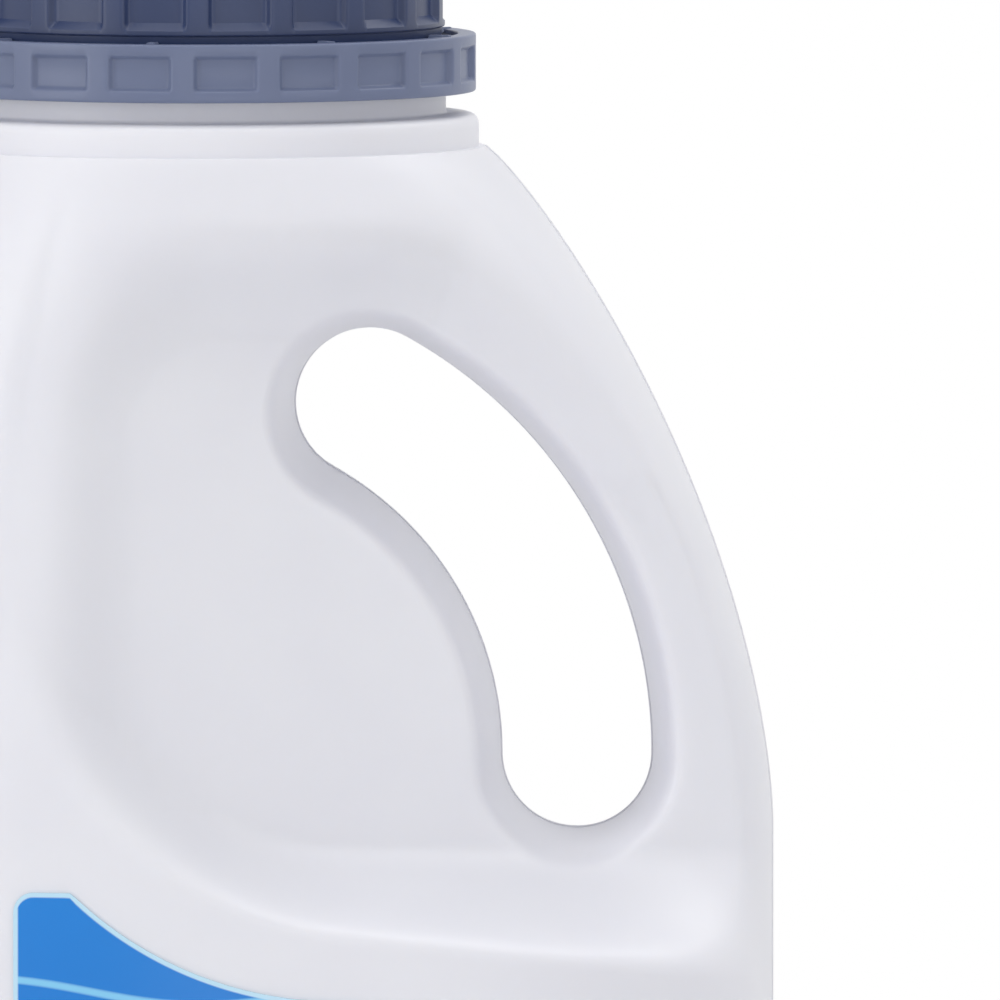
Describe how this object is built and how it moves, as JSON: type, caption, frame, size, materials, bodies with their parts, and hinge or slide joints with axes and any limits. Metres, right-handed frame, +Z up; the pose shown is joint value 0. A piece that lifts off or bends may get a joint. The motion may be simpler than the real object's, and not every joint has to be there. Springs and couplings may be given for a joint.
{
  "type": "pool chemical bottle",
  "caption": "White blow-moulded handled jug with a dished side and grip hole, a ribbed dark blue screw cap with foam liner, a tamper band on the neck and a blue front label.",
  "frame": {"origin": "middle of the base, on the plane that the bottle stands on", "axes": "+Z up, the front with the label faces -Y, the handle is on the +X side"},
  "size_m": [0.0964, 0.0682, 0.229],
  "materials": {
    "bottle_plastic": "satin blow-moulded polyethylene",
    "cap_plastic": "satin moulded polypropylene",
    "band_plastic": "thin satin moulded polypropylene",
    "liner_foam": "fine closed-cell foam",
    "label_film": "printed gloss film"
  },
  "bodies": {
    "bottle": {"bottle": "bottle_plastic", "tamper_band": "band_plastic", "front_label": "label_film"},
    "liner": {"cap_liner": "liner_foam"},
    "cap": {"cap": "cap_plastic"}
  },
  "joints": [
    {"name": "cap_rise", "type": "slide", "parent": "bottle", "child": "liner", "axis": [0, 0, 1], "range_m": [0, 0.0211]},
    {"name": "cap_turn", "type": "hinge", "parent": "liner", "child": "cap", "pos_m": [-0.009, 0, 0.22], "axis": [0, 0, 1], "range_deg": [0, 1260]}
  ],
  "couplings": [
    {"joint": "cap_rise", "follows": "cap_turn", "m_per_rad": 0.00095493}
  ]
}
